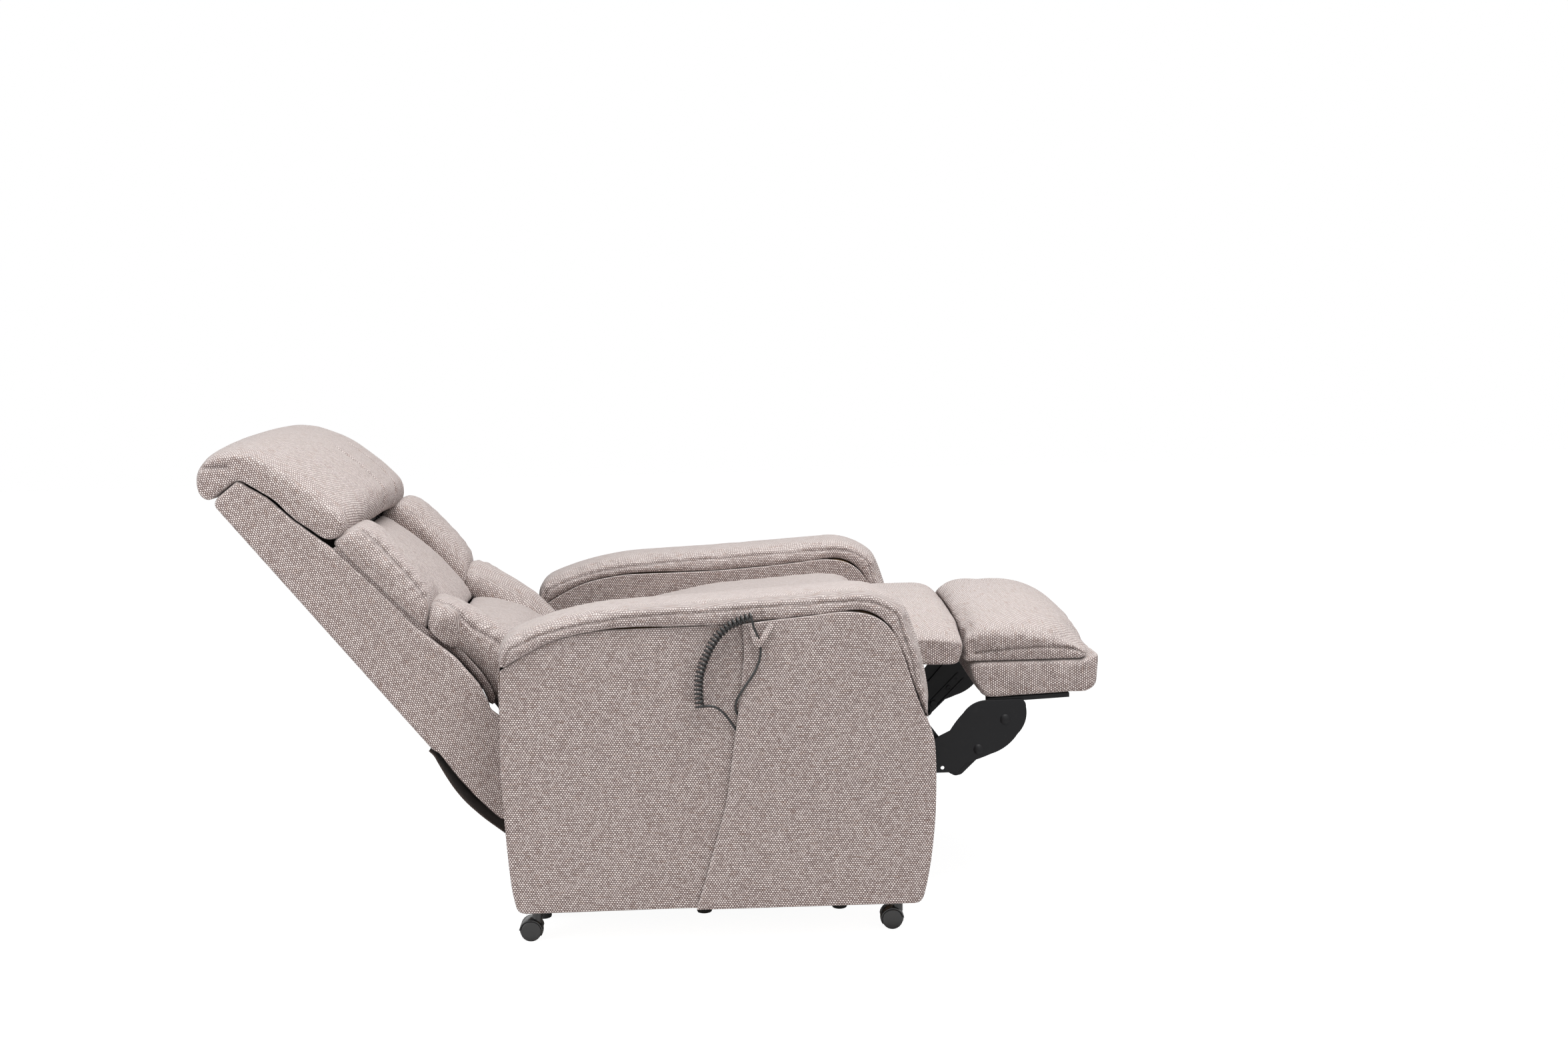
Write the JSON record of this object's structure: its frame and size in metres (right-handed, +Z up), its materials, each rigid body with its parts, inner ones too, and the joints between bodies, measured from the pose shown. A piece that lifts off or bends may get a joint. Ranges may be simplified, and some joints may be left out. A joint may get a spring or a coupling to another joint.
{
  "type": "lift recliner chair",
  "caption": "Padded armchair on a lifting base, with a reclining back, a headrest that tilts, a fold-out footrest, castors and a corded handset.",
  "frame": {"origin": "on the floor, under the middle of the chair's box, halfway between its arms and halfway from the headrest to the end of the footrest", "axes": "+X to the sitter's left, -Y the way the chair faces, +Z up"},
  "size_m": [0.83, 1.6238, 0.9112],
  "materials": {
    "cover_fabric": "woven cloth, mauve taupe, coarse basket weave",
    "frame_steel": "black satin paint",
    "bright_steel": "zinc plated",
    "timber": "planed softwood",
    "foot_rubber": "matt",
    "castor_plastic": "black, moulded",
    "motor_plastic": "fine grain",
    "cord_plastic": "black, smooth",
    "key_plastic": "grey, fine grain",
    "lining_fabric": "thin dark lining"
  },
  "bodies": {
    "base": {"base_frame": "frame_steel", "base_feet": "foot_rubber"},
    "lift_arm": {"lift_arm": "frame_steel"},
    "front_links": {"front_lift_links": "frame_steel"},
    "chassis": {"chassis_plate_right": "frame_steel", "chassis_plate_left": "frame_steel", "chassis_cross_tubes": "frame_steel", "arm_frame_right": "timber", "arm_frame_left": "timber", "arm_pad_right": "cover_fabric", "arm_pad_left": "cover_fabric", "outer_panel_rear_right": "cover_fabric", "outer_panel_rear_left": "cover_fabric", "outer_panel_front_right": "cover_fabric", "outer_panel_front_left": "cover_fabric", "inner_panel_right": "cover_fabric", "inner_panel_left": "cover_fabric", "castor_plates": "bright_steel", "control_box": "motor_plastic", "handset_pocket": "lining_fabric", "handset_shell": "motor_plastic", "cord_loop": "cover_fabric", "handset_lead_lower": "cord_plastic", "handset_lead_upper": "cord_plastic", "handset_curly_cord": "cord_plastic", "rear_apron": "cover_fabric"},
    "seat": {"seat_frame": "frame_steel", "seat_springs": "bright_steel", "seat_cushion": "cover_fabric", "chaise_pad": "cover_fabric"},
    "back": {"back_frame": "frame_steel", "back_shell": "cover_fabric", "back_pad_upper": "cover_fabric", "back_pad_lower": "cover_fabric", "bolster_upper_right": "cover_fabric", "bolster_upper_left": "cover_fabric", "bolster_lower_right": "cover_fabric", "bolster_lower_left": "cover_fabric"},
    "headrest": {"headrest_pad": "cover_fabric", "headrest_bracket": "frame_steel"},
    "footrest": {"footrest_board": "cover_fabric", "footrest_pad": "cover_fabric", "footrest_brackets": "frame_steel", "cover_plates": "frame_steel", "cover_bolts": "frame_steel"},
    "crank": {"footrest_crank": "frame_steel"},
    "lift_motor": {"lift_motor": "motor_plastic"},
    "lift_rod": {"lift_rod": "bright_steel"},
    "back_motor": {"back_motor": "motor_plastic"},
    "back_rod": {"back_rod": "bright_steel"},
    "key_back": {"rocker_back": "key_plastic"},
    "key_lift": {"rocker_lift": "key_plastic"},
    "castor_rear_right": {"castor_hood_rear_right": "castor_plastic"},
    "wheels_rear_right": {"castor_wheels_rear_right": "castor_plastic"},
    "castor_rear_left": {"castor_hood_rear_left": "castor_plastic"},
    "wheels_rear_left": {"castor_wheels_rear_left": "castor_plastic"},
    "castor_front_right": {"castor_hood_front_right": "castor_plastic"},
    "wheels_front_right": {"castor_wheels_front_right": "castor_plastic"},
    "castor_front_left": {"castor_hood_front_left": "castor_plastic"},
    "wheels_front_left": {"castor_wheels_front_left": "castor_plastic"}
  },
  "joints": [
    {"name": "lift", "type": "hinge", "parent": "base", "child": "lift_arm", "pos_m": [0, -0.15, 0.1], "axis": [1, 0, 0], "range_deg": [0, 45]},
    {"name": "chassis_tilt", "type": "hinge", "parent": "lift_arm", "child": "chassis", "pos_m": [0, 0.19, 0.11], "axis": [1, 0, 0], "range_deg": [-23.6, 0.2]},
    {"name": "front_link_swing", "type": "hinge", "parent": "base", "child": "front_links", "pos_m": [0, -0.319, 0.115], "axis": [1, 0, 0], "range_deg": [-0.2, 63.2]},
    {"name": "lift_motor_swing", "type": "hinge", "parent": "base", "child": "lift_motor", "pos_m": [0, 0.205, 0.07], "axis": [1, 0, 0], "range_deg": [-0.1, 1.6]},
    {"name": "lift_rod_slide", "type": "slide", "parent": "lift_motor", "child": "lift_rod", "axis": [0, -0.9263, 0.3768], "range_m": [-0.0005, 0.0826]},
    {"name": "recline", "type": "hinge", "parent": "chassis", "child": "back", "pos_m": [0, 0.205, 0.395], "axis": [1, 0, 0], "range_deg": [0, 27]},
    {"name": "seat_tilt", "type": "hinge", "parent": "chassis", "child": "seat", "pos_m": [0, 0.205, 0.395], "axis": [1, 0, 0], "range_deg": [-0.1, 6.1]},
    {"name": "back_motor_swing", "type": "hinge", "parent": "chassis", "child": "back_motor", "pos_m": [-0.11, -0.15, 0.25], "axis": [1, 0, 0], "range_deg": [-0.1, 3.7]},
    {"name": "back_rod_slide", "type": "slide", "parent": "back_motor", "child": "back_rod", "axis": [0, 0.9993, 0.0379], "range_m": [-0.0005, 0.058]},
    {"name": "footrest", "type": "hinge", "parent": "seat", "child": "footrest", "pos_m": [0, -0.47, 0.5], "axis": [1, 0, 0], "range_deg": [0, 85]},
    {"name": "footrest_crank", "type": "hinge", "parent": "seat", "child": "crank", "pos_m": [0, -0.4515, 0.4575], "axis": [1, 0, 0], "range_deg": [-0.2, 101.8]},
    {"name": "headrest_tilt", "type": "hinge", "parent": "back", "child": "headrest", "pos_m": [0, 0.5638, 0.72131], "axis": [1, 0, 0], "range_deg": [0, 20]},
    {"name": "rocker_back", "type": "hinge", "parent": "chassis", "child": "key_back", "pos_m": [-0.3682, -0.281, 0.295], "axis": [0, 1, 0], "range_deg": [-6, 6], "stiffness_Nm_per_rad": 0.05},
    {"name": "rocker_lift", "type": "hinge", "parent": "chassis", "child": "key_lift", "pos_m": [-0.3682, -0.281, 0.251], "axis": [0, 1, 0], "range_deg": [-6, 6], "stiffness_Nm_per_rad": 0.05},
    {"name": "castor_swivel_rear_right", "type": "hinge", "parent": "chassis", "child": "castor_rear_right", "pos_m": [-0.35, 0.219, 0.04], "axis": [0, 0, 1], "continuous": true},
    {"name": "wheel_spin_rear_right", "type": "hinge", "parent": "castor_rear_right", "child": "wheels_rear_right", "pos_m": [-0.35, 0.23, 0.0185], "axis": [1, 0, 0], "continuous": true},
    {"name": "castor_swivel_rear_left", "type": "hinge", "parent": "chassis", "child": "castor_rear_left", "pos_m": [0.35, 0.219, 0.04], "axis": [0, 0, 1], "continuous": true},
    {"name": "wheel_spin_rear_left", "type": "hinge", "parent": "castor_rear_left", "child": "wheels_rear_left", "pos_m": [0.35, 0.23, 0.0185], "axis": [1, 0, 0], "continuous": true},
    {"name": "castor_swivel_front_right", "type": "hinge", "parent": "chassis", "child": "castor_front_right", "pos_m": [-0.35, -0.431, 0.04], "axis": [0, 0, 1], "continuous": true},
    {"name": "wheel_spin_front_right", "type": "hinge", "parent": "castor_front_right", "child": "wheels_front_right", "pos_m": [-0.35, -0.42, 0.0185], "axis": [1, 0, 0], "continuous": true},
    {"name": "castor_swivel_front_left", "type": "hinge", "parent": "chassis", "child": "castor_front_left", "pos_m": [0.35, -0.431, 0.04], "axis": [0, 0, 1], "continuous": true},
    {"name": "wheel_spin_front_left", "type": "hinge", "parent": "castor_front_left", "child": "wheels_front_left", "pos_m": [0.35, -0.42, 0.0185], "axis": [1, 0, 0], "continuous": true}
  ],
  "couplings": [
    {"joint": "chassis_tilt", "follows": "lift", "ratio": -0.52222},
    {"joint": "front_link_swing", "follows": "lift", "ratio": 1.4},
    {"joint": "lift_motor_swing", "follows": "lift", "ratio": 0.033333},
    {"joint": "lift_rod_slide", "follows": "lift", "m_per_rad": 0.10453},
    {"joint": "seat_tilt", "follows": "recline", "ratio": 0.22222},
    {"joint": "back_motor_swing", "follows": "recline", "ratio": 0.13333},
    {"joint": "back_rod_slide", "follows": "recline", "m_per_rad": 0.12172},
    {"joint": "footrest_crank", "follows": "footrest", "ratio": 1.193}
  ]
}
